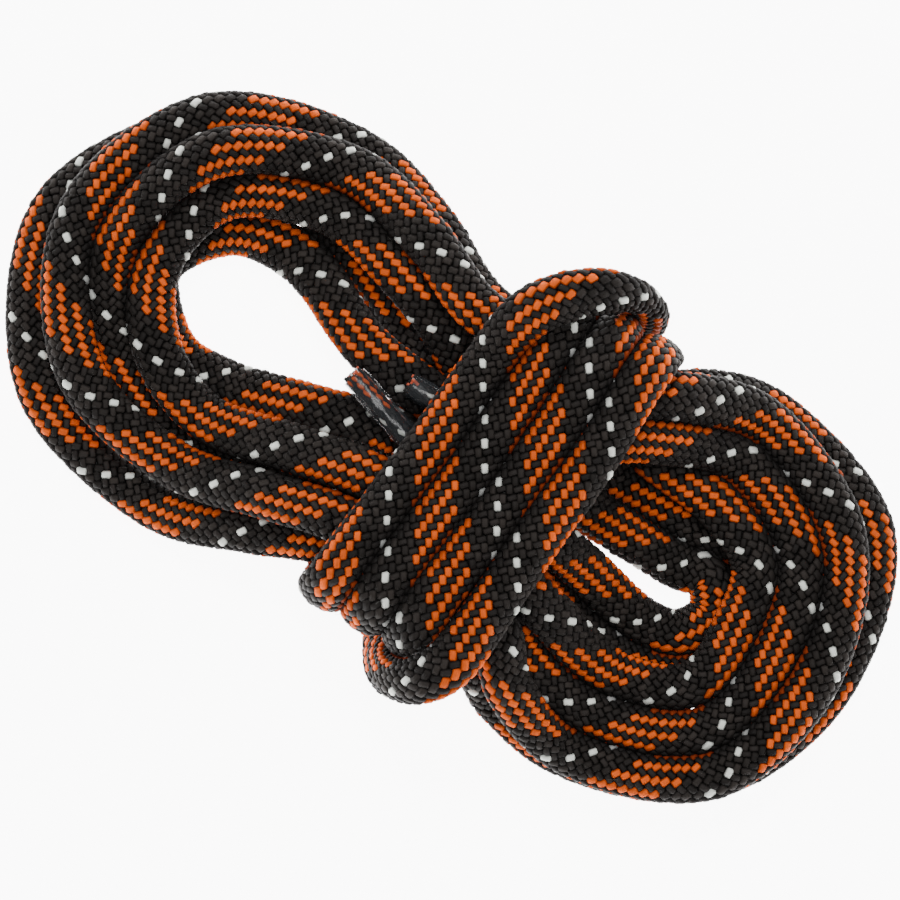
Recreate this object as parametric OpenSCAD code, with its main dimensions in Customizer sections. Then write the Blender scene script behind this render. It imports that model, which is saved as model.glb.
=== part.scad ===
// A flattened braided lace, laid up as a hank: six bights on the right, five on the left,
// drawn in at the waist, bound there by four wraps, with both tips tucked under the wraps.
// +X runs along the hank, +Z points up, and the hank lies on the plane z = 0.

/* [Lace] */
// Width of the lace where it is pressed between its neighbours
lace_width = 4; // [3.6:0.1:4.1]
// Thickness of the flattened lace
lace_thick = 2; // [1.8:0.05:2.1]
// Height from one layer of the hank to the next
layer = 2.9; // [2.8:0.02:3.2]
// Least gap that the lace has to keep to itself
least_gap = 0.4; // [0.1:0.1:0.6]

/* [Tips] */
// Length of the clear sleeve on each tip
tip_length = 9; // [8:0.5:10]
// Outer diameter of the sleeve
tip_diameter = 2.7; // [2.5:0.05:2.8]
// Wall of the sleeve
tip_wall = 0.25; // [0.15:0.05:0.4]
// Clearance between the squeezed lace and the sleeve
tip_clearance = 0.03; // [0.02:0.01:0.06]
// Length over which the lace leaves its sleeve in a straight line
tip_lead = 3; // [2.5:0.5:4]
// Length over which the lace spreads out again behind its sleeve
tip_flare = 5; // [4:0.5:8]

/* [Wraps] */
// Height of the front wraps above the back ones, in layers
wrap_layers = 3; // [3:0.05:3.3]
// How far the wraps' round ends stand out past their straight runs
wrap_bulge = 4.2; // [3.8:0.1:4.6]
// Where the wraps turn at the hank's top edge
wrap_top = 14.5; // [14.3:0.1:15.5]
// Where the wraps turn at the hank's bottom edge
wrap_bottom = -15.2; // [-16:0.1:-15]

/* [Hidden] */

// A faceted lace on the floor is cut flat by a tenth of its thickness.
floor_cut = lace_thick / 10;
first_layer = lace_thick / 2 - floor_cut;
ring_gap = 2.6;
bore_radius = tip_diameter / 2 - tip_wall;
squeezed_radius = bore_radius - tip_clearance;
black = [0.05, 0.05, 0.055];
clear = [0.62, 0.64, 0.66];

function height(level) = first_layer + level * layer;
function place(p) = [p.x, p.y, height(p.z)];

// The lobes are laid out round two centres, and each bight is a row of reaches from its centre.
left_centre = [-22, 0];
right_centre = [27, -1];
left_neck = -12;
right_neck = 18;
waist_left = -4;
waist_middle = 5;
waist_right = 14;

// One bight: [reach, layer] at the neck, the top, the shoulder, the far end, the shoulder,
// the bottom and the neck again. The neck's reach is its own height across the hank.
left_1 = [[4.2, 1.5], [8.3, 0.1], [10.1, 0], [11.9, 0], [8.9, 0], [6.5, 0.1], [-3.9, 1.5]];
left_2 = [[12, 1.9], [13.8, 1], [13.6, 1], [11.9, 1], [10.3, 1], [10.4, 1], [-8.4, 2.4]];
left_3 = [[16.4, 2.5], [18.5, 1.25], [17.8, 2], [16.5, 1.1], [14.1, 0], [13.4, 0], [-11.6, 1.25]];
left_4 = [[17.8, 1.3], [20.5, 0.2], [21.8, 1.1], [21.1, 1], [18.4, 1], [16.1, 1], [-13.8, 2.4]];
left_5 = [[9.3, 0.4], [13.4, 0], [20.3, 0], [23.9, 0], [22.9, 0], [20.8, 0], [-17.8, 1.3]];
right_1 = [[1.4, 1.2], [2.4, 0], [4.3, 0], [5.4, 0], [5, 0], [4.4, 0.1], [-3.7, 1.9]];
right_2 = [[5.5, 0.4], [6.9, 0], [9.3, 0], [10.1, 0], [9.5, 0], [8.9, 0], [-8.1, 1]];
right_3 = [[9.9, 1], [9.6, 1], [9, 1], [8, 1], [10.2, 1], [10.4, 1], [-9.5, 2.4]];
right_4 = [[10.8, 2.5], [14.5, 1], [13.6, 1], [12.6, 1], [14.9, 1], [14.9, 1], [-14.2, 1.5]];
right_5 = [[15.9, 2.7], [19.2, 1], [18.2, 1], [17.5, 1], [19.5, 1], [19.5, 1], [-17.7, 2.6]];
right_6 = [[16.4, 1.6], [20.4, 0], [21.3, 0], [19.3, 0], [19.7, 0], [20, 0], [-19.6, 0.8]];

function backwards(p) = [for (i = [len(p) - 1:-1:0]) p[i]];
function around(centre, reach, angle, level) =
    [centre.x + reach * cos(angle), centre.y + reach * sin(angle), level];
function bight(centre, neck, turn, row) = concat(
    [[neck, row[0][0], row[0][1]]],
    [for (k = [1:5]) around(centre, row[k][0], 90 + turn * 45 * (k - 1), row[k][1])],
    [[neck, row[6][0], row[6][1]]]);
// Both kinds of bight run from the top of the hank to its bottom.
function left_bight(row) = bight(left_centre, left_neck, 1, row);
function right_bight(row) = bight(right_centre, right_neck, -1, row);

// One run through the waist, from left to right: its height across the hank at three places.
function waist(heights, level) = [
    [waist_left, heights[0], level], [waist_middle, heights[1], level], [waist_right, heights[2], level]];

// The round end of a wrap, from its front run at x0 to its back run at x1.
function wrap_end(x0, x1, y, side) = [
    for (k = [0:4]) [x0 + (x1 - x0) * k / 4, y + side * wrap_bulge * sin(45 * k),
                     1 + wrap_layers * (1 + cos(45 * k)) / 2]];
function top_end(x0, x1) = wrap_end(x0, x1, wrap_top, 1);
function bottom_end(x0, x1) = wrap_end(x0, x1, wrap_bottom, -1);

// The sleeves lie in the gap between the two halves of the waist, and point left.
tip_a = [-11, 0.8, 2.98];
tip_a_heading = [9.4, -3, 0.02];
tip_b = [-5.6, 3, 3];
tip_b_heading = [9.8, -0.5, 0];
function beyond(tip, heading, distance) = tip + distance * heading / norm([heading.x, heading.y]);
function mouth(tip, heading) = beyond(tip, heading, tip_length);
function lead(tip, heading) = beyond(tip, heading, tip_length + tip_lead);

tail_a_route = [mouth(tip_a, tip_a_heading), lead(tip_a, tip_a_heading), [5, -2.6, 3], [waist_right, -3.2, 3]];
tail_b_route = [[waist_right, 8.4, 3], [10, 5.2, 3], lead(tip_b, tip_b_heading), mouth(tip_b, tip_b_heading)];

inner_wraps_route = concat(
    [[15, 5.6, 0.8], [11.8, 7.6, 1]],
    backwards(top_end(9, 9.8)),
    [[8.9, 7, 4], [8.3, -2, 4], [7.6, -9, 4]],
    bottom_end(7.1, 6.9),
    [[6.6, -6, 1], [6, 6, 1]],
    backwards(top_end(4.2, 4.8)),
    [[4.2, 8, 4], [3.7, -2, 4], [2.9, -9, 4]],
    bottom_end(2.3, 1.9),
    [[1.1, -5, 1], [0.8, 2, 1], [-1.2, 6.4, 1.1], [-5.6, 9.6, 1.6]]);

outer_wraps_route = concat(
    [[15.8, 11.4, 1]],
    backwards(top_end(13.7, 14.2)),
    [[13.7, 7, 4], [13, -2, 4], [12.6, -10, 4]],
    // The loose arch at the bottom, then the run across the back
    [[12.3, -15.8, 4.1], [11.7, -19.3, 4.1], [10, -21.8, 3.7], [7.7, -22.8, 2.6], [5.9, -22, 1.2],
     [5, -19, 0.1], [5.2, -12, 0], [7.2, 0, 0], [9.2, 10, 0], [10.6, 17, 0]],
    // The loose arch over the top edge
    [[11, 20.7, 0.9], [10, 21.8, 2.6], [7.2, 21.2, 4.3], [3.9, 19.1, 4.9], [0.8, 15, 4.9]],
    [[-0.2, 9, 4.1], [-0.9, -1, 4], [-1.7, -9, 4]],
    bottom_end(-2.4, -3),
    [[-3.6, -4, 1], [-4.5, 1.8, 1], [-8.2, 6.6, 0.7]]);

// The whole lace from tip to tip, in the stretches that the nodes hold.
stretches = [
    tail_a_route,
    concat(backwards(right_bight(right_1)), backwards(waist([3, 2.4, 1.5], 2)), left_bight(left_1),
           waist([-2, -4.6, -6.8], 2), backwards(right_bight(right_2))),
    inner_wraps_route,
    concat(left_bight(left_2), waist([-6.9, -7.6, -8.2], 3), backwards(right_bight(right_3))),
    outer_wraps_route,
    concat(left_bight(left_5), waist([-14.6, -14.8, -17.3], 2), backwards(right_bight(right_6)),
           backwards(waist([14, 13.2, 13.4], 2)), left_bight(left_4),
           waist([-12, -12.5, -13.5], 3), backwards(right_bight(right_5)),
           backwards(waist([13, 12.9, 13.9], 3)), left_bight(left_3),
           waist([-9.2, -9.7, -11.8], 2), backwards(right_bight(right_4))),
    tail_b_route];
route = [for (s = stretches, p = s) place(p)];
// The control point where each stretch ends and the next one starts
function total(v, n) = n == 0 ? 0 : v[n - 1] + total(v, n - 1);
counts = [for (s = stretches) len(s)];
function first_point(s) = s == 0 ? 0 : total(counts, s) - 1;
function last_point(s) = total(counts, s + 1) - 1;

// A smooth curve through the control points
function knot(a, b, t) = t + sqrt(norm(b - a));
function mix(a, b, ta, tb, t) = (a * (tb - t) + b * (t - ta)) / (tb - ta);
function smooth(p0, p1, p2, p3, u) =
    let (t1 = knot(p0, p1, 0), t2 = knot(p1, p2, t1), t3 = knot(p2, p3, t2), t = t1 + (t2 - t1) * u)
    let (a1 = mix(p0, p1, 0, t1, t), a2 = mix(p1, p2, t1, t2, t), a3 = mix(p2, p3, t2, t3, t))
    mix(mix(a1, a2, 0, t2, t), mix(a2, a3, t1, t3, t), t1, t2, t);
last = len(route) - 1;
function at(i) = i < 0 ? 2 * route[0] - route[1]
    : i > last ? 2 * route[last] - route[last - 1] : route[i];
steps = [for (i = [0:last - 1]) max(1, round(norm(route[i + 1] - route[i]) / ring_gap))];
starts = [for (i = 0, s = 0; i <= last; s = s + (i < last ? steps[i] : 0), i = i + 1) s];
line = concat(
    [for (i = [0:last - 1], j = [0:steps[i] - 1])
        smooth(at(i - 1), at(i), at(i + 1), at(i + 2), j / steps[i])],
    [route[last]]);
rings = len(line);

// The lace's long axis stays level on flat runs, and is carried along round the wraps' ends.
function unit(v) = v / norm(v);
along = [for (i = [0:rings - 1])
    i == 0 ? unit(line[0] - place(tip_a)) : i == rings - 1 ? unit(place(tip_b) - line[i])
    : unit(line[i + 1] - line[i - 1])];
function levelled(w, t) =
    let (c = cross(t, [0, 0, 1]), n = w + 0.8 * (w * c < 0 ? -1 : 1) * c) unit(n - (n * t) * t);
across = [for (i = 0, w = levelled([0, 1, 0], along[0]); i < rings;
               i = i + 1, w = i < rings ? levelled(w, along[i]) : w) w];

lengths = [for (i = 0, s = 0; i < rings; s = s + (i < rings - 1 ? norm(line[i + 1] - line[i]) : 0), i = i + 1) s];
lace_length = lengths[rings - 1] + 2 * tip_length;
// 0 at a sleeve's mouth and 1 where the lace has its full width
function spread(i) =
    let (u = min(1, min(lengths[i], lengths[rings - 1] - lengths[i]) / tip_flare)) u * u * (3 - 2 * u);
function half_width(i) = squeezed_radius + (lace_width / 2 - squeezed_radius) * spread(i);
function half_thick(i) = squeezed_radius * sin(60) + (lace_thick / 2 - squeezed_radius * sin(60)) * spread(i);

// Six sides, with a flat above and a flat below as wide as half the lace
sides = 6;
function above_floor(p) = [p.x, p.y, max(0, p.z)];
function ring(i) =
    let (n = cross(along[i], across[i]))
    [for (k = [0:sides - 1]) above_floor(line[i]
        + half_width(i) * cos(60 * k) * across[i] + half_thick(i) * sin(60 * k) / sin(60) * n)];

module lace_stretch(s) {
    i0 = starts[first_point(s)];
    i1 = starts[last_point(s)];
    n = i1 - i0;
    tube_sides = [for (i = [0:n - 1], k = [0:sides - 1])
        let (a = i * sides + k, b = i * sides + (k + 1) % sides)
        each [[a, b, b + sides], [a, b + sides, a + sides]]];
    near_cap = [for (k = [1:sides - 2]) [0, k + 1, k]];
    far_cap = [for (k = [1:sides - 2]) [n * sides, n * sides + k, n * sides + k + 1]];
    polyhedron(points = [for (i = [i0:i1]) each ring(i)],
               faces = [for (f = concat(tube_sides, near_cap, far_cap)) [f[0], f[2], f[1]]]);
}

module tail_a() color(black) lace_stretch(0);
module inner_loops() color(black) lace_stretch(1);
module inner_wraps() color(black) lace_stretch(2);
module middle_loop() color(black) lace_stretch(3);
module outer_wraps() color(black) lace_stretch(4);
module outer_loops() color(black) lace_stretch(5);
module tail_b() color(black) lace_stretch(6);

// Stands its children on the tip, along the sleeve
module on_tip(tip, heading) {
    d = place(mouth(tip, heading)) - place(tip);
    translate(place(tip)) rotate([0, acos(d.z / norm(d)), atan2(d.y, d.x)]) children();
}
module sleeve(tip, heading) {
    reach = norm(place(mouth(tip, heading)) - place(tip));
    color(clear) on_tip(tip, heading) difference() {
        cylinder(h = reach, r = tip_diameter / 2, $fn = 48);
        translate([0, 0, -1]) cylinder(h = reach + 2, r = bore_radius, $fn = 48);
    }
}
module squeezed_end(tip, heading) {
    reach = norm(place(mouth(tip, heading)) - place(tip));
    color(black) on_tip(tip, heading) cylinder(h = reach, r = squeezed_radius, $fn = 48);
}
module tip_sleeve_a() sleeve(tip_a, tip_a_heading);
module tip_sleeve_b() sleeve(tip_b, tip_b_heading);
module squeezed_end_a() squeezed_end(tip_a, tip_a_heading);
module squeezed_end_b() squeezed_end(tip_b, tip_b_heading);

// Stands the hank over the origin, with the middle of its box there
outline = [for (i = [0:rings - 1]) each ring(i)];
middle = [for (c = [0, 1]) (min([for (p = outline) p[c]]) + max([for (p = outline) p[c]])) / 2];
module centred() translate([-middle.x, -middle.y, 0]) children();

centred() tip_sleeve_a();
centred() squeezed_end_a();
centred() tail_a();
centred() inner_loops();
centred() inner_wraps();
centred() middle_loop();
centred() outer_wraps();
centred() outer_loops();
centred() tail_b();
centred() squeezed_end_b();
centred() tip_sleeve_b();

// The least gap from the lace to itself, measured between its sections at the line's points
function section_reach(i, d) =
    let (w = half_width(i) * abs(across[i] * d), t = half_thick(i) * abs(cross(along[i], across[i]) * d))
    max(w, w / 2 + t);
function gap(i, j) =
    let (v = line[j] - line[i], d = unit(v)) norm(v) - section_reach(i, d) - section_reach(j, d);
union() {
    near = [for (i = [0:rings - 1], j = [i + 1:1:rings - 1])
        if (lengths[j] - lengths[i] > 3 * lace_width && norm(line[j] - line[i]) < 2 * lace_width) gap(i, j)];
    echo(lace_length = lace_length, rings = rings, least_gap_found = min(near), least_gap_wanted = least_gap);
}
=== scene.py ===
import math

import bmesh
import bpy
import numpy as np
from mathutils import Matrix, Vector


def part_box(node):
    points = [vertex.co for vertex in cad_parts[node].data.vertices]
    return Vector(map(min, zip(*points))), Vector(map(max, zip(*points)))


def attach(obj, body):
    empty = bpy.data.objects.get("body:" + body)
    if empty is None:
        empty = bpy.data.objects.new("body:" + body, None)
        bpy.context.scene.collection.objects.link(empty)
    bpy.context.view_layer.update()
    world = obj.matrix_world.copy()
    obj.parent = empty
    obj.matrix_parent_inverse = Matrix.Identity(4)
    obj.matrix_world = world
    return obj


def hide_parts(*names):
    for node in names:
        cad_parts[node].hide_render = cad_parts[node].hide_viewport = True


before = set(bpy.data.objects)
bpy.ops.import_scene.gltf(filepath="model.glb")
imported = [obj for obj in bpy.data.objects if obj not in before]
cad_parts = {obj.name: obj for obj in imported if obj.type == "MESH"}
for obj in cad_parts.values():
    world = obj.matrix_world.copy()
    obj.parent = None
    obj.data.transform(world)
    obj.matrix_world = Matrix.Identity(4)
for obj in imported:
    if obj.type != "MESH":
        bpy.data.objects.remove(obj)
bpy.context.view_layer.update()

MM = 0.001

# The lace's route, as the part's source has it: millimetres across the hank and layers up
LAYER, FIRST_LAYER = 2.9, 0.8
LEFT_CENTRE, RIGHT_CENTRE = (-22, 0), (27, -1)
LEFT_NECK, RIGHT_NECK = -12, 18
WAIST = (-4, 5, 14)
WRAP_TOP, WRAP_BOTTOM, WRAP_BULGE, WRAP_LAYERS = 14.5, -15.2, 4.2, 3
TIP_LENGTH, TIP_LEAD, TIP_FLARE = 9, 3, 5
TIP_A, TIP_A_HEADING = (-11, 0.8, 2.98), (9.4, -3, 0.02)
TIP_B, TIP_B_HEADING = (-5.6, 3, 3), (9.8, -0.5, 0)
TIP_RADIUS, BORE_RADIUS = 1.35, 1.1

LEFT_1 = [[4.2, 1.5], [8.3, 0.1], [10.1, 0], [11.9, 0], [8.9, 0], [6.5, 0.1], [-3.9, 1.5]]
LEFT_2 = [[12, 1.9], [13.8, 1], [13.6, 1], [11.9, 1], [10.3, 1], [10.4, 1], [-8.4, 2.4]]
LEFT_3 = [[16.4, 2.5], [18.5, 1.25], [17.8, 2], [16.5, 1.1], [14.1, 0], [13.4, 0], [-11.6, 1.25]]
LEFT_4 = [[17.8, 1.3], [20.5, 0.2], [21.8, 1.1], [21.1, 1], [18.4, 1], [16.1, 1], [-13.8, 2.4]]
LEFT_5 = [[9.3, 0.4], [13.4, 0], [20.3, 0], [23.9, 0], [22.9, 0], [20.8, 0], [-17.8, 1.3]]
RIGHT_1 = [[1.4, 1.2], [2.4, 0], [4.3, 0], [5.4, 0], [5, 0], [4.4, 0.1], [-3.7, 1.9]]
RIGHT_2 = [[5.5, 0.4], [6.9, 0], [9.3, 0], [10.1, 0], [9.5, 0], [8.9, 0], [-8.1, 1]]
RIGHT_3 = [[9.9, 1], [9.6, 1], [9, 1], [8, 1], [10.2, 1], [10.4, 1], [-9.5, 2.4]]
RIGHT_4 = [[10.8, 2.5], [14.5, 1], [13.6, 1], [12.6, 1], [14.9, 1], [14.9, 1], [-14.2, 1.5]]
RIGHT_5 = [[15.9, 2.7], [19.2, 1], [18.2, 1], [17.5, 1], [19.5, 1], [19.5, 1], [-17.7, 2.6]]
RIGHT_6 = [[16.4, 1.6], [20.4, 0], [21.3, 0], [19.3, 0], [19.7, 0], [20, 0], [-19.6, 0.8]]


def bight(centre, neck, turn, row):
    ends = [(neck, row[0][0], row[0][1]), (neck, row[6][0], row[6][1])]
    round_ = []
    for k in range(1, 6):
        angle = math.radians(90 + turn * 45 * (k - 1))
        reach, level = row[k]
        round_.append((centre[0] + reach * math.cos(angle), centre[1] + reach * math.sin(angle), level))
    return [ends[0], *round_, ends[1]]


def left(row):
    return bight(LEFT_CENTRE, LEFT_NECK, 1, row)


def right(row):
    return bight(RIGHT_CENTRE, RIGHT_NECK, -1, row)


def waist(heights, level):
    return [(x, y, level) for x, y in zip(WAIST, heights)]


def wrap_end(x0, x1, y, side):
    return [
        (x0 + (x1 - x0) * k / 4, y + side * WRAP_BULGE * math.sin(math.pi / 4 * k),
         1 + WRAP_LAYERS * (1 + math.cos(math.pi / 4 * k)) / 2)
        for k in range(5)
    ]


def over_top(x0, x1):
    return wrap_end(x0, x1, WRAP_TOP, 1)[::-1]


def under_bottom(x0, x1):
    return wrap_end(x0, x1, WRAP_BOTTOM, -1)


def beyond(tip, heading, distance):
    k = distance / math.hypot(heading[0], heading[1])
    return tuple(t + k * h for t, h in zip(tip, heading))


ROUTE = [
    beyond(TIP_A, TIP_A_HEADING, TIP_LENGTH), beyond(TIP_A, TIP_A_HEADING, TIP_LENGTH + TIP_LEAD),
    (5, -2.6, 3), (14, -3.2, 3),
    *right(RIGHT_1)[::-1], *waist((3, 2.4, 1.5), 2)[::-1], *left(LEFT_1), *waist((-2, -4.6, -6.8), 2),
    *right(RIGHT_2)[::-1],
    # The two inner wraps
    (15, 5.6, 0.8), (11.8, 7.6, 1), *over_top(9, 9.8), (8.9, 7, 4), (8.3, -2, 4), (7.6, -9, 4),
    *under_bottom(7.1, 6.9), (6.6, -6, 1), (6, 6, 1), *over_top(4.2, 4.8),
    (4.2, 8, 4), (3.7, -2, 4), (2.9, -9, 4), *under_bottom(2.3, 1.9),
    (1.1, -5, 1), (0.8, 2, 1), (-1.2, 6.4, 1.1), (-5.6, 9.6, 1.6),
    *left(LEFT_2), *waist((-6.9, -7.6, -8.2), 3), *right(RIGHT_3)[::-1],
    # The two outer wraps, with the run across the back between them
    (15.8, 11.4, 1), *over_top(13.7, 14.2), (13.7, 7, 4), (13, -2, 4), (12.6, -10, 4),
    (12.3, -15.8, 4.1), (11.7, -19.3, 4.1), (10, -21.8, 3.7), (7.7, -22.8, 2.6), (5.9, -22, 1.2),
    (5, -19, 0.1), (5.2, -12, 0), (7.2, 0, 0), (9.2, 10, 0), (10.6, 17, 0),
    (11, 20.7, 0.9), (10, 21.8, 2.6), (7.2, 21.2, 4.3), (3.9, 19.1, 4.9), (0.8, 15, 4.9),
    (-0.2, 9, 4.1), (-0.9, -1, 4), (-1.7, -9, 4), *under_bottom(-2.4, -3),
    (-3.6, -4, 1), (-4.5, 1.8, 1), (-8.2, 6.6, 0.7),
    *left(LEFT_5), *waist((-14.6, -14.8, -17.3), 2), *right(RIGHT_6)[::-1],
    *waist((14, 13.2, 13.4), 2)[::-1], *left(LEFT_4), *waist((-12, -12.5, -13.5), 3),
    *right(RIGHT_5)[::-1], *waist((13, 12.9, 13.9), 3)[::-1], *left(LEFT_3),
    *waist((-9.2, -9.7, -11.8), 2), *right(RIGHT_4)[::-1],
    (14, 8.4, 3), (10, 5.2, 3), beyond(TIP_B, TIP_B_HEADING, TIP_LENGTH + TIP_LEAD),
    beyond(TIP_B, TIP_B_HEADING, TIP_LENGTH),
]
# The hank's own origin lies off the frame's by as much as tip A does
low, high = (np.array(corner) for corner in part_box("squeezed_end_a"))
unmoved = (np.array(TIP_A) + beyond(TIP_A, TIP_A_HEADING, TIP_LENGTH)) / 2
MIDDLE = np.array((*(unmoved - (low + high) / 2 / MM)[:2], 0))


def placed(point):
    return np.array((point[0], point[1], FIRST_LAYER + LAYER * point[2])) - MIDDLE


def smooth_line(points, step):
    """A centripetal Catmull-Rom curve through the points"""
    p = [2 * points[0] - points[1], *points, 2 * points[-1] - points[-2]]
    out = []
    for i in range(1, len(p) - 2):
        p0, p1, p2, p3 = p[i - 1 : i + 3]
        t1 = np.linalg.norm(p1 - p0) ** 0.5
        t2 = t1 + np.linalg.norm(p2 - p1) ** 0.5
        t3 = t2 + np.linalg.norm(p3 - p2) ** 0.5
        n = max(1, round(np.linalg.norm(p2 - p1) / step))
        for k in range(n):
            t = t1 + (t2 - t1) * k / n
            a1 = (p0 * (t1 - t) + p1 * t) / t1
            a2 = (p1 * (t2 - t) + p2 * (t - t1)) / (t2 - t1)
            a3 = (p2 * (t3 - t) + p3 * (t - t2)) / (t3 - t2)
            b1 = (a1 * (t2 - t) + a2 * t) / t2
            b2 = (a2 * (t3 - t) + a3 * (t - t1)) / (t3 - t1)
            out.append((b1 * (t2 - t) + b2 * (t - t1)) / (t2 - t1))
    return np.array(out + [points[-1]])


def evenly(line, step):
    at = np.concatenate(([0], np.cumsum(np.linalg.norm(np.diff(line, axis=0), axis=1))))
    want = np.linspace(0, at[-1], round(at[-1] / step) + 1)
    return np.stack([np.interp(want, at, line[:, c]) for c in range(3)], axis=1)


def unit(v):
    return v / np.linalg.norm(v, axis=-1, keepdims=True)


tip_a, mouth_a = placed(TIP_A), placed(beyond(TIP_A, TIP_A_HEADING, TIP_LENGTH))
tip_b, mouth_b = placed(TIP_B), placed(beyond(TIP_B, TIP_B_HEADING, TIP_LENGTH))
STEP = 0.4
line = np.concatenate((
    evenly(np.array([tip_a, mouth_a]), STEP)[:-1],
    evenly(smooth_line([placed(p) for p in ROUTE], 0.25), STEP),
    evenly(np.array([mouth_b, tip_b]), STEP)[1:],
))
run = np.concatenate(([0], np.cumsum(np.linalg.norm(np.diff(line, axis=0), axis=1))))
LENGTH = run[-1]
along = unit(np.gradient(line, axis=0))


def carried_across(along):
    """The lace's wide axis: level on flat runs, carried along round the wraps' ends"""
    w, out = np.array((0.0, 1.0, 0.0)), []
    for t in along:
        c = np.cross(t, (0, 0, 1))
        w = w + 0.14 * (-1 if w @ c < 0 else 1) * c
        w = unit(w - (w @ t) * t)
        out.append(w)
    return np.array(out)


across = carried_across(along)
up = np.cross(along, across)

# The lace's own sizes, in millimetres
HALF_WIDTH, HALF_THICK = 2.3, 1.3
SQUEEZED = 0.94
YARN_HEIGHT = 0.3
COLUMNS, PICK = 8, 1.02
GIRTH = 11.6
# Each float is a blunt rectangle that leans across the lace
# How far a strand is pressed into its neighbour, and the least part of its reach that it keeps
PRESSED_IN, LEAST_ROOM = 0.2, 0.78
# How near a neighbour its yarns get painted shade, and at how many places round the lace that is worked out
CREVICE, ROUND = 0.9, 48
# Where the lace spreads over a hollow beside it: the place along it, and by how much
SPREADS = ((109, 0.08), (157, 0.05), (292, 0.05), (411, 0.06), (487, 0.05), (614, 0.05), (756, 0.06), (774, 0.08))
LEAN_SIN, LEAN_COS = math.sin(math.radians(37)), math.cos(math.radians(37))
PICK_LENGTH, PICK_WIDTH = 1.2, 0.9
ROWS = int(LENGTH / PICK)


def flat_section(fractions):
    """Points and normals round the flattened tube, at fractions of its girth from the edge"""
    theta = np.linspace(0, 2 * math.pi, 721)
    x = HALF_WIDTH * np.cos(theta)
    y = HALF_THICK * np.sin(theta)
    at = np.concatenate(([0], np.cumsum(np.hypot(np.diff(x), np.diff(y)))))
    at /= at[-1]
    f = fractions % 1.0
    px, py = np.interp(f, at, x), np.interp(f, at, y)
    nx, ny = px / HALF_WIDTH**2, py / HALF_THICK**2
    return px, py, nx, ny


def find_neighbours():
    """The strands round every millimetre: how far to its side and top they lie, and how far it is half way"""
    at = np.arange(0, LENGTH, 1.0)
    centre, side, top = (np.stack([np.interp(at, run, a[:, c]) for c in range(3)], axis=1) for a in (line, across, up))
    found = []
    for i in range(len(at)):
        apart = centre - centre[i]
        distance = np.sqrt((apart**2).sum(1))
        near = (np.abs(at - at[i]) > 8) & (distance < 7)
        found.append((apart[near] @ side[i], apart[near] @ top[i], distance[near]))
    return at, found


NEAR_AT, NEIGHBOURS = find_neighbours()


def room_round():
    """How much of its full reach the lace has to its right and left, above and below"""
    wide, thick = HALF_WIDTH + YARN_HEIGHT, HALF_THICK + YARN_HEIGHT
    angle = np.radians(np.arange(-60, 61, 15))[:, None]
    rooms = np.ones((4, len(NEAR_AT)))
    for i, (a, b, distance) in enumerate(NEIGHBOURS):
        half_way = distance * (distance / 2 + PRESSED_IN)
        for k, (to, aside, reach, reach_aside) in enumerate((
                (a, b, wide, thick), (-a, b, wide, thick), (b, a, thick, wide), (-b, a, thick, wide))):
            facing = to > np.abs(aside)
            if facing.any():
                room = (half_way - reach_aside * np.sin(angle) * aside)[:, facing] / (to[facing] * reach * np.cos(angle))
                rooms[k, i] = np.clip(room.min(), LEAST_ROOM, 1)
    rooms = np.stack([np.convolve(np.pad(r, 2, "edge"), np.ones(5) / 5, "valid") for r in rooms])
    # The yarns keep their height, so all of it comes off the body below them
    rooms[:2] = (rooms[:2] * wide - YARN_HEIGHT) / HALF_WIDTH
    rooms[2:] = (rooms[2:] * thick - YARN_HEIGHT) / HALF_THICK
    return rooms


ROOMS = room_round()


def crevices_round():
    """How deep the painted crevice shade is: 1 where the lace touches another strand, down to 0 where it lies open,
    for places round its girth
    """
    px, py, _, _ = flat_section(np.arange(ROUND) / ROUND)
    right, left, top, bottom = (r[:, None] for r in ROOMS)
    x = px * np.where(px > 0, right, left) * (1 + YARN_HEIGHT / HALF_WIDTH)
    y = py * np.where(py > 0, top, bottom) * (1 + YARN_HEIGHT / HALF_THICK)
    crevices = np.zeros_like(x)
    for i, (a, b, distance) in enumerate(NEIGHBOURS):
        if len(a):
            left_over = distance / 2 - (x[i][:, None] * a + y[i][:, None] * b) / distance
            crevices[i] = np.clip(1 - left_over.min(1) / CREVICE, 0, 1)
    return crevices


CREVICES = crevices_round()


def crevice_at(fraction, v):
    """The depth in a crevice at a place on the lace, read between the places that were worked out"""
    v, f = np.clip(v, 0, len(NEAR_AT) - 1.001), fraction % 1.0 * ROUND
    i, k = v.astype(int), f.astype(int)
    v, f = v - i, f - k
    k, k_next = k % ROUND, (k + 1) % ROUND
    here = CREVICES[i, k] * (1 - f) + CREVICES[i, k_next] * f
    ahead = CREVICES[i + 1, k] * (1 - f) + CREVICES[i + 1, k_next] * f
    return here * (1 - v) + ahead * v


def spread_at(v):
    """0 inside a sleeve and 1 where the lace has its full width"""
    s = np.clip((np.minimum(v, LENGTH - v) - TIP_LENGTH) / TIP_FLARE, 0, 1)
    return s * s * (3 - 2 * s)


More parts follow.
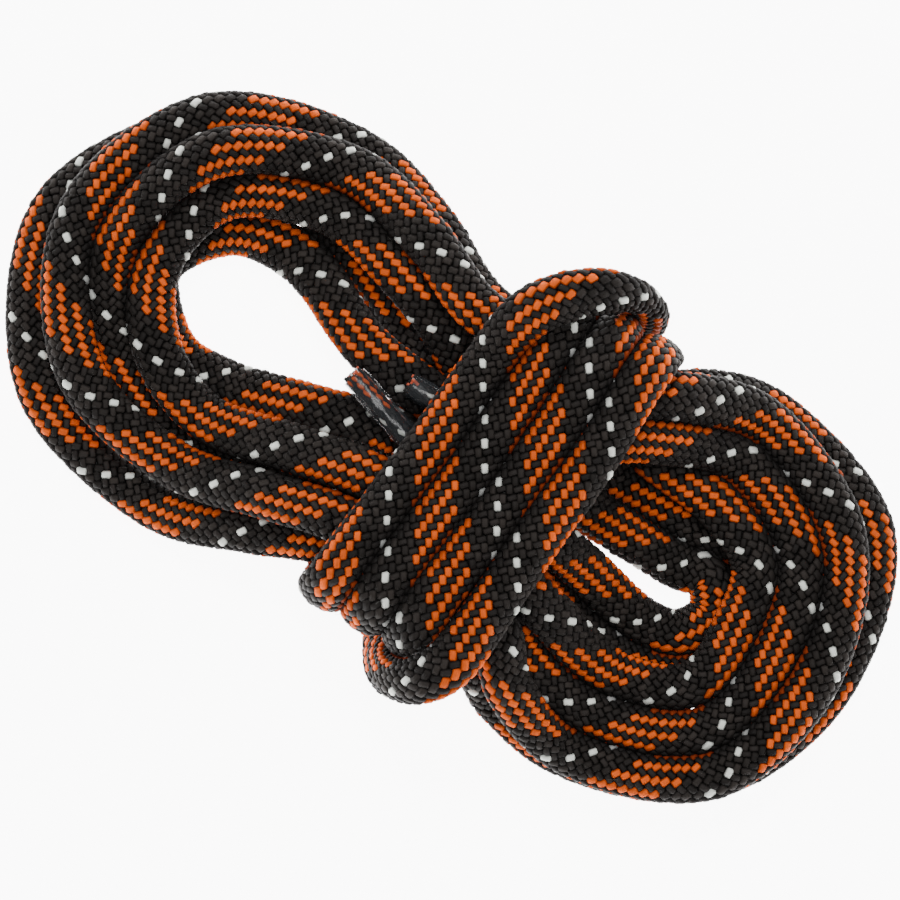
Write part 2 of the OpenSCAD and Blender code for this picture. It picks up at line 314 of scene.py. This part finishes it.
def on_lace(fraction, v, height):
    """Where a place on the flat braid lies on the lace: round its girth, along it, and out from it"""
    v = np.clip(v, 0, LENGTH)
    centre, t, w = (np.stack([np.interp(v, run, a[:, c]) for c in range(3)], axis=1) for a in (line, along, across))
    w = unit(w - (w * t).sum(1, keepdims=True) * t)
    n = np.cross(t, w)
    k = spread_at(v)
    px, py, nx, ny = flat_section(fraction)
    # Strands that lie against each other press each other narrower and thinner
    right_room, left_room, top_room, bottom_room = (np.interp(v, NEAR_AT, r) for r in ROOMS)
    px = px * np.where(px > 0, right_room, left_room)
    py = py * np.where(py > 0, top_room, bottom_room)
    # The lace is never quite as wide or as thick from one place to the next
    px = px * (1 + 0.02 * np.sin(v / 7.3 + 1) + 0.02 * np.sin(v / 3.1 + 4))
    for place, more in SPREADS:
        px = px * (1 + more * np.exp(-(((v - place) / 6) ** 2)))
    py = py * (1 + 0.04 * np.sin(v / 9.7 + 2) + 0.03 * np.sin(v / 4.3))
    angle = 2 * math.pi * fraction
    x = k * px + (1 - k) * SQUEEZED * np.cos(angle)
    y = k * py + (1 - k) * SQUEEZED * np.sin(angle)
    size = np.hypot(nx, ny)
    nx, ny = k * nx / size + (1 - k) * np.cos(angle), k * ny / size + (1 - k) * np.sin(angle)
    size = np.hypot(nx, ny)
    h = height * (0.62 + 0.38 * k)
    x, y = x + h * nx / size, y + h * ny / size
    out = centre + x[:, None] * w + y[:, None] * n
    # Pressed flat by the floor
    out[:, 2] = (out[:, 2] + np.hypot(out[:, 2], 0.25)) / 2
    return out * MM


def co_of(mesh):
    co = np.empty(len(mesh.vertices) * 3)
    mesh.vertices.foreach_get("co", co)
    return co.reshape(-1, 3)


def set_co(mesh, co):
    mesh.vertices.foreach_set("co", co.ravel())
    mesh.update()


def finished(bm, name, *materials, smooth=True):
    mesh = bpy.data.meshes.new(name)
    bm.to_mesh(mesh)
    bm.free()
    for m in materials:
        mesh.materials.append(m)
    if smooth:
        mesh.polygons.foreach_set("use_smooth", [True] * len(mesh.polygons))
    piece = bpy.data.objects.new(name, mesh)
    bpy.context.scene.collection.objects.link(piece)
    return piece


# Materials
def shader_group(name, inputs, outputs):
    group = bpy.data.node_groups.new(name, "ShaderNodeTree")
    for label, kind, value in inputs:
        socket = group.interface.new_socket(name=label, in_out="INPUT", socket_type=kind)
        if value is not None:
            socket.default_value = value
    for label, kind in outputs:
        group.interface.new_socket(name=label, in_out="OUTPUT", socket_type=kind)
    return group, group.nodes.new("NodeGroupInput"), group.nodes.new("NodeGroupOutput")


def node(tree, kind, inputs=(), **settings):
    n = tree.nodes.new(kind)
    for key, value in settings.items():
        setattr(n, key, value)
    for key, value in dict(inputs).items():
        if isinstance(value, bpy.types.NodeSocket):
            tree.links.new(value, n.inputs[key])
        else:
            n.inputs[key].default_value = value
    return n


def sum_(tree, op, a, b, clamp=False):
    return node(tree, "ShaderNodeMath", {0: a, 1: b}, operation=op, use_clamp=clamp).outputs[0]


def make_yarn_group():
    """Fine filaments along a yarn, each pick a little lighter or darker, with painted shade towards each pick's sides
    and ends and in the crevices between strands
    """
    group, gin, gout = shader_group(
        "yarn",
        [("Colour", "NodeSocketColor", (0.5, 0.5, 0.5, 1)), ("Painted Shade Colour", "NodeSocketColor", (0, 0, 0, 1)),
         ("Filament Contrast", "NodeSocketFloat", 0.3), ("Variation", "NodeSocketFloat", 0.2)],
        [("Colour", "NodeSocketColor"), ("Roughness", "NodeSocketFloat"), ("Height", "NodeSocketFloat")],
    )
    uv = node(group, "ShaderNodeUVMap", uv_map="yarn").outputs[0]
    cell = node(group, "ShaderNodeVectorMath", {0: uv}, operation="FLOOR").outputs[0]
    local = node(group, "ShaderNodeVectorMath", {0: uv}, operation="FRACTION").outputs[0]
    xyz = node(group, "ShaderNodeSeparateXYZ", {0: local})
    pick = node(group, "ShaderNodeTexWhiteNoise", {"Vector": cell}, noise_dimensions="2D").outputs[0]
    stretched = node(group, "ShaderNodeMapping", {"Vector": uv, "Scale": (1.1, 13, 1)}, vector_type="POINT").outputs[0]
    filaments = node(group, "ShaderNodeTexNoise", {"Vector": stretched, "Scale": 1.0, "Detail": 2.0, "Roughness": 0.6}).outputs[0]
    # How near the pick's two long sides and its two tucked ends are
    side = sum_(group, "ABSOLUTE", sum_(group, "SUBTRACT", xyz.outputs[1], 0.5), 0)
    end = sum_(group, "ABSOLUTE", sum_(group, "SUBTRACT", xyz.outputs[0], 0.5), 0)
    # Painted shade: each pick darkens towards its long sides and its tucked ends
    side_shade = node(group, "ShaderNodeMapRange", {"Value": side, "From Min": 0.2, "From Max": 0.5, "To Min": 0, "To Max": 1}).outputs[0]
    end_shade = node(group, "ShaderNodeMapRange", {"Value": end, "From Min": 0.28, "From Max": 0.5, "To Min": 0, "To Max": 1}).outputs[0]
    shade = sum_(group, "MAXIMUM", side_shade, end_shade)
    light = sum_(group, "MULTIPLY", sum_(group, "SUBTRACT", filaments, 0.5), gin.outputs["Filament Contrast"])
    vary = sum_(group, "MULTIPLY", sum_(group, "SUBTRACT", pick, 0.5), gin.outputs["Variation"])
    gain = sum_(group, "ADD", sum_(group, "ADD", light, vary), 1.0)
    hsv = node(group, "ShaderNodeHueSaturation", {"Value": gain, "Color": gin.outputs["Colour"]}).outputs[0]
    # The painted shade of the pick's sides and ends, mixed towards the shade colour
    mixed = node(group, "ShaderNodeMix", {0: sum_(group, "MULTIPLY", shade, 0.85), 6: hsv, 7: gin.outputs["Painted Shade Colour"]}, data_type="RGBA")
    # Painted shade in the crevices where the lace lies against another strand
    crevice = node(group, "ShaderNodeAttribute", attribute_name="crevice").outputs["Fac"]
    shaded = node(group, "ShaderNodeMix", {0: sum_(group, "MULTIPLY", crevice, 0.95), 6: mixed.outputs[2], 7: gin.outputs["Painted Shade Colour"]}, data_type="RGBA")
    group.links.new(shaded.outputs[2], gout.inputs["Colour"])
    rough = node(group, "ShaderNodeMapRange", {"Value": filaments, "To Min": 0.55, "To Max": 0.9}).outputs[0]
    group.links.new(rough, gout.inputs["Roughness"])
    group.links.new(filaments, gout.inputs["Height"])
    return group


yarn_group = make_yarn_group()


def principled(name):
    m = bpy.data.materials.new(name)
    m.use_nodes = True
    return m, m.node_tree, m.node_tree.nodes["Principled BSDF"]


def yarn_material(name, colour, edge, contrast=0.5, variation=0.25, sheen=0.15, gloss=0.22):
    m, tree, bsdf = principled(name)
    g = node(tree, "ShaderNodeGroup", node_tree=yarn_group)
    g.inputs["Colour"].default_value = (*colour, 1)
    # edge is the colour of the painted shade at the picks' sides and ends and in the crevices
    g.inputs["Painted Shade Colour"].default_value = (*edge, 1)
    g.inputs["Filament Contrast"].default_value = contrast
    g.inputs["Variation"].default_value = variation
    tree.links.new(g.outputs["Colour"], bsdf.inputs["Base Color"])
    tree.links.new(g.outputs["Roughness"], bsdf.inputs["Roughness"])
    bump = node(tree, "ShaderNodeBump", {"Strength": 0.5, "Distance": 0.00008, "Height": g.outputs["Height"]})
    tree.links.new(bump.outputs[0], bsdf.inputs["Normal"])
    bsdf.inputs["Sheen Weight"].default_value = sheen
    bsdf.inputs["Sheen Roughness"].default_value = 0.4
    bsdf.inputs["Specular IOR Level"].default_value = gloss
    return m


# Each yarn's second colour is its painted shade colour, for its picks' sides and ends and for the crevices between
# strands
black_yarn = yarn_material("black_yarn", (0.0154, 0.0124, 0.0108), (0.0042, 0.0032, 0.003), contrast=1.3, variation=0.9, sheen=0.0, gloss=0.14)
counter_yarn = yarn_material("black_counter_yarn", (0.0134, 0.0109, 0.0098), (0.0036, 0.0028, 0.0026), contrast=1.3, variation=0.9, sheen=0.0, gloss=0.14)
orange_yarn = yarn_material("orange_yarn", (0.57, 0.083, 0.007), (0.07, 0.008, 0.0015), contrast=0.9, variation=0.3, sheen=0.0, gloss=0.08)
white_yarn = yarn_material("white_yarn", (0.66, 0.68, 0.62), (0.14, 0.14, 0.14), contrast=0.3, variation=0.12, sheen=0.0)

# Near black, darker than the black yarns: the braid's inside with painted shade; also the colour of the black cut ends
# in the sleeves
inner_material, _, inner = principled("lace_inside")
inner.inputs["Base Color"].default_value = (0.006, 0.006, 0.006, 1)
inner.inputs["Roughness"].default_value = 0.9


def plain(name, colour, roughness):
    m, _, bsdf = principled(name)
    bsdf.inputs["Base Color"].default_value = (*colour, 1)
    bsdf.inputs["Roughness"].default_value = roughness
    return m


orange_end = plain("orange_end", (0.42, 0.06, 0.02), 0.6)
white_end = plain("white_end", (0.5, 0.5, 0.48), 0.6)
fibre_material = plain("fibre", (0.05, 0.047, 0.044), 0.6)

film_material, film_tree, film = principled("clear_film")
film.inputs["Base Color"].default_value = (0.03, 0.034, 0.038, 1)
film.inputs["Alpha"].default_value = 0.2
film.inputs["Roughness"].default_value = 0.2
film.inputs["Specular IOR Level"].default_value = 0.7
where = node(film_tree, "ShaderNodeTexCoord").outputs["Object"]
streaks = node(film_tree, "ShaderNodeTexNoise", {"Vector": where, "Scale": 1300.0, "Detail": 2.0}).outputs[0]
creases = node(film_tree, "ShaderNodeBump", {"Strength": 0.6, "Distance": 0.0001, "Height": streaks})
film_tree.links.new(creases.outputs[0], film.inputs["Normal"])


# The lace's body, which shows between the yarns: the braid's inside, mostly black yarns, painted darker than them as
# shade
def make_body():
    sides, rings = 20, evenly(line, 1.0)
    n = len(rings) - 1
    bm = bmesh.new()
    bmesh.ops.create_grid(bm, x_segments=n, y_segments=sides, size=0.5)
    piece = finished(bm, "lace_body", inner_material)
    co = co_of(piece.data)
    set_co(piece.data, on_lace(co[:, 1] + 0.5, (co[:, 0] + 0.5) * LENGTH, np.full(len(co), -0.02)))
    bm = bmesh.new()
    bm.from_mesh(piece.data)
    bmesh.ops.remove_doubles(bm, verts=bm.verts, dist=1e-6)
    bmesh.ops.holes_fill(bm, edges=[e for e in bm.edges if e.is_boundary], sides=0)
    bmesh.ops.recalc_face_normals(bm, faces=bm.faces)
    bm.to_mesh(piece.data)
    bm.free()
    path = np.stack([np.interp(np.linspace(0, LENGTH, n + 1), run, line[:, c]) for c in range(3)], axis=1)
    return piece, path * MM


def make_pick():
    """One visible float of a yarn: a blunt pillow, from -0.5 to 0.5 along and across"""
    bm = bmesh.new()
    bmesh.ops.create_grid(bm, x_segments=4, y_segments=3, size=0.5)
    for v in bm.verts:
        v.co.x = math.copysign(abs(2 * v.co.x) ** 0.72, v.co.x) / 2
        v.co.y = math.copysign(abs(2 * v.co.y) ** 0.8, v.co.y) / 2
    uv = bm.loops.layers.uv.new("yarn")
    for f in bm.faces:
        for l in f.loops:
            l[uv].uv = (0.02 + 0.96 * (l.vert.co.x + 0.5), 0.02 + 0.96 * (l.vert.co.y + 0.5))
    for v in bm.verts:
        s, w = 2 * v.co.x, 2 * v.co.y
        v.co.z = (0.2 + 0.8 * (1 - abs(w) ** 2)) * (1 - 0.8 * abs(s) ** 3.5) - 0.1 * abs(s) ** 5
        v.co.y *= 1 - 0.12 * abs(s) ** 5
        v.co.x *= 1 - 0.06 * abs(w) ** 3
    base = bmesh.ops.holes_fill(bm, edges=[e for e in bm.edges if e.is_boundary], sides=0)["faces"]
    for f in base:
        for l in f.loops:
            l[uv].uv = (0.5, 0.02)
    bmesh.ops.recalc_face_normals(bm, faces=bm.faces)
    mesh = bpy.data.meshes.new("pick")
    bm.to_mesh(mesh)
    bm.free()
    return mesh


pick_mesh = make_pick()


def repeated(mesh, count, name):
    """A mesh of that many copies of a mesh, one after another"""
    o = bpy.data.objects.new(name, mesh)
    bpy.context.scene.collection.objects.link(o)
    array = o.modifiers.new("copies", "ARRAY")
    array.count, array.use_relative_offset = count, False
    made = bpy.data.meshes.new_from_object(o.evaluated_get(bpy.context.evaluated_depsgraph_get()))
    bpy.data.objects.remove(o)
    made.name = name
    return made


def lay_yarns(name, picks, way, material, wide=1.0, lift=1.0):
    """One float for each (column, row), leaning one way or the other"""
    count = len(picks)
    mesh = repeated(pick_mesh, count, name)
    one = len(pick_mesh.vertices)
    loops = len(pick_mesh.loops)
    co = co_of(mesh)
    column, row = (np.repeat(picks[:, k].astype(float), one) for k in (0, 1))
    rng = np.random.default_rng(len(name) * 1000 + count)
    puff = np.repeat(1 + rng.normal(0, 0.12, count), one)
    shift = np.repeat(rng.normal(0, 0.045, count), one)
    s, w = co[:, 0], co[:, 1]
    s, w = s * PICK_LENGTH, w * PICK_WIDTH * wide
    fraction = (column + 0.5 * (way > 0) + 0.22) / COLUMNS + (s * LEAN_SIN + w * LEAN_COS) / GIRTH
    v = (row + 0.5 * (way > 0) + 0.25 + shift) * PICK + way * (s * LEAN_COS - w * LEAN_SIN)
    set_co(mesh, on_lace(fraction, v, co[:, 2] * YARN_HEIGHT * lift * puff))
    # How deep each point lies in painted crevice shade, read by the yarn material
    mesh.attributes.new("crevice", "FLOAT", "POINT").data.foreach_set("value", crevice_at(fraction, v))
    uv = mesh.uv_layers["yarn"].data
    at = np.empty(len(uv) * 2)
    uv.foreach_get("uv", at)
    at = at.reshape(-1, 2)
    at += np.repeat(np.stack((picks[:, 0] * 3 + 1.0, picks[:, 1] + 1.0), axis=1), loops, axis=0)
    uv.foreach_set("uv", at.ravel())
    mesh.materials.clear()
    mesh.materials.append(material)
    mesh.polygons.foreach_set("use_smooth", [True] * len(mesh.polygons))
    piece = bpy.data.objects.new(name, mesh)
    bpy.context.scene.collection.objects.link(piece)
    return piece


column, row = (a.ravel() for a in np.meshgrid(np.arange(COLUMNS), np.arange(ROWS - 1), indexing="xy"))
picks = np.stack((column, row), axis=1)
# The sixteen yarns that lie one way: seven orange, four black, one white, four black
yarn = (row + 2 * column) % 16
orange = picks[yarn < 7]
white = picks[yarn == 11]
black = picks[(yarn >= 7) & (yarn != 11)]

body, path = make_body()
yarns = [lay_yarns("orange_yarns", orange, -1, orange_yarn), lay_yarns("white_yarns", white, -1, white_yarn)]
for k, part in enumerate(np.array_split(black, 2)):
    yarns.append(lay_yarns(f"black_yarns_{k + 1}", part, -1, black_yarn))
for k, part in enumerate(np.array_split(picks, 3)):
    yarns.append(lay_yarns(f"counter_yarns_{k + 1}", part, 1, counter_yarn, wide=0.86, lift=0.94))


# The clear sleeves and the cut yarns in them
def on_tip(tip, mouth):
    turn = Vector(mouth - tip).to_track_quat("Z", "Y").to_matrix().to_4x4()
    return Matrix.Scale(MM, 4) @ Matrix.Translation(Vector(tip)) @ turn


def make_sleeve(name, tip, mouth):
    """A film rolled round the squeezed lace, with its own edge lapped over, a little uneven over the yarns"""
    bm = bmesh.new()
    reach = float(np.linalg.norm(mouth - tip))
    bmesh.ops.create_grid(bm, x_segments=40, y_segments=56, size=0.5)
    for v in bm.verts:
        h, turned = v.co.x + 0.5, 1.12 * (v.co.y + 0.5)
        angle = 2 * math.pi * turned
        r = 1.22 + 0.08 * turned + 0.022 * math.sin(5 * angle + 9 * h) + 0.012 * math.sin(9 * angle - 23 * h)
        r *= 1 - 0.05 * math.exp(-(h * 12) ** 2) - 0.03 * math.exp(-((1 - h) * 12) ** 2)
        v.co = Vector((r * math.cos(angle), r * math.sin(angle), h * reach))
    bmesh.ops.recalc_face_normals(bm, faces=bm.faces)
    bmesh.ops.solidify(bm, geom=bm.faces[:], thickness=0.07)
    bmesh.ops.transform(bm, matrix=on_tip(tip, mouth), verts=bm.verts)
    return finished(bm, name, film_material)


def make_yarn_ends(name, tip, mouth, seed):
    """The yarns' cut ends, which stand unevenly in the open end of a sleeve"""
    rng = np.random.default_rng(seed)
    bm = bmesh.new()
    for k in range(30):
        # Spread evenly over the round end
        angle, r = 2.4 * k, 0.96 * math.sqrt((k + 0.5) / 30)
        out, thick = rng.uniform(0.05, 0.5), rng.uniform(0.13, 0.2)
        place = Matrix.Translation((r * math.cos(angle), r * math.sin(angle), 0.6 - (0.6 + out) / 2))
        place @= Matrix.Rotation(rng.uniform(-0.2, 0.2), 4, "X") @ Matrix.Rotation(rng.uniform(-0.2, 0.2), 4, "Y")
        made = bmesh.ops.create_cone(bm, cap_ends=True, segments=7, radius1=thick, radius2=thick * 1.1, depth=0.6 + out, matrix=place)
        kind = (0, 1, 0, 0, 1, 0, 2, 0, 1, 0)[k % 10]
        for f in {f for v in made["verts"] for f in v.link_faces}:
            f.material_index = kind
    bmesh.ops.transform(bm, matrix=on_tip(tip, mouth), verts=bm.verts)
    return finished(bm, name, inner_material, orange_end, white_end, smooth=False)


sleeves = [make_sleeve("clear_sleeve_a", tip_a, mouth_a), make_sleeve("clear_sleeve_b", tip_b, mouth_b)]
yarn_ends = [make_yarn_ends("yarn_ends_a", tip_a, mouth_a, 3), make_yarn_ends("yarn_ends_b", tip_b, mouth_b, 8)]


def make_loose_fibres(name, count):
    """Fine fibres that have worked out of the yarns"""
    rng = np.random.default_rng(21)
    steps, sides = 6, 3
    bm = bmesh.new()
    bmesh.ops.create_grid(bm, x_segments=steps, y_segments=sides, size=0.5)
    bmesh.ops.remove_doubles(bm, verts=bm.verts, dist=1e-6)
    one = bpy.data.meshes.new("fibre")
    bm.to_mesh(one)
    bm.free()
    mesh = repeated(one, count, name)
    co = co_of(mesh)
    per = len(one.vertices)
    t, turn = co[:, 0] + 0.5, 2 * math.pi * (co[:, 1] + 0.5)
    fraction, v, swing, drift, rise = (
        np.repeat(rng.uniform(*limits, count), per)
        for limits in ((0, 1), (15, LENGTH - 15), (-0.14, 0.14), (-1.2, 1.2), (0.15, 0.6))
    )
    thin = 0.013 * (1 - 0.5 * t)
    f = fraction + swing * t * t + thin * np.cos(turn) / GIRTH
    h = 0.2 + rise * np.sin(2.2 * t) + thin * np.sin(turn)
    set_co(mesh, on_lace(f, v + drift * t, h))
    mesh.materials.append(fibre_material)
    piece = bpy.data.objects.new(name, mesh)
    bpy.context.scene.collection.objects.link(piece)
    return piece


fibres = make_loose_fibres("loose_fibres", 420)

# What stands for what
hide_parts("tail_a", "inner_loops", "inner_wraps", "middle_loop", "outer_wraps", "outer_loops", "tail_b",
            "squeezed_end_a", "squeezed_end_b")
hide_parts("tip_sleeve_a")
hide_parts("tip_sleeve_b")
for piece in (body, *yarns, *yarn_ends, fibres):
    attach(piece, "root")
for piece in sleeves:
    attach(piece, "root")


# Floor, lights and camera
def make_floor():
    bm = bmesh.new()
    bmesh.ops.create_grid(bm, x_segments=1, y_segments=1, size=0.6)
    m, _, bsdf = principled("pale_floor")
    bsdf.inputs["Base Color"].default_value = (0.95, 0.95, 0.95, 1)
    bsdf.inputs["Roughness"].default_value = 0.9
    bsdf.inputs["Emission Color"].default_value = (1, 1, 1, 1)
    bsdf.inputs["Emission Strength"].default_value = 9
    floor = finished(bm, "floor", m, smooth=False)
    floor.location.z = -0.00005


make_floor()

world = bpy.context.scene.world or bpy.data.worlds.new("studio")
bpy.context.scene.world = world
world.use_nodes = True
world.node_tree.nodes["Background"].inputs[0].default_value = (1, 1, 1, 1)
world.node_tree.nodes["Background"].inputs[1].default_value = 0.3


def make_light(name, place, size, watts):
    data = bpy.data.lights.new(name, "AREA")
    data.size, data.energy = size, watts
    o = bpy.data.objects.new(name, data)
    o.location = place
    o.rotation_euler = (-Vector(place)).to_track_quat("-Z", "Y").to_euler()
    bpy.context.scene.collection.objects.link(o)


make_light("window", (-0.3, 0.45, 0.65), 0.25, 5)
make_light("overhead", (0.03, 0.03, 0.7), 0.3, 3.5)

TURN = math.radians(31)
view_right = Vector((math.cos(TURN), math.sin(TURN), 0))
view_up = Vector((-math.sin(TURN), math.cos(TURN), 0))
camera_data = bpy.data.cameras.new("camera")
camera_data.sensor_width, camera_data.lens = 36, 200
camera_data.clip_start, camera_data.clip_end = 0.05, 10
camera = bpy.data.objects.new("camera", camera_data)
turn = Matrix((view_right, view_up, Vector((0, 0, 1)))).transposed()
camera.matrix_world = Matrix.Translation(((1.019 - MIDDLE[0]) * MM, (-0.578 - MIDDLE[1]) * MM, 0.508)) @ turn.to_4x4()
bpy.context.scene.collection.objects.link(camera)
bpy.context.scene.camera = camera
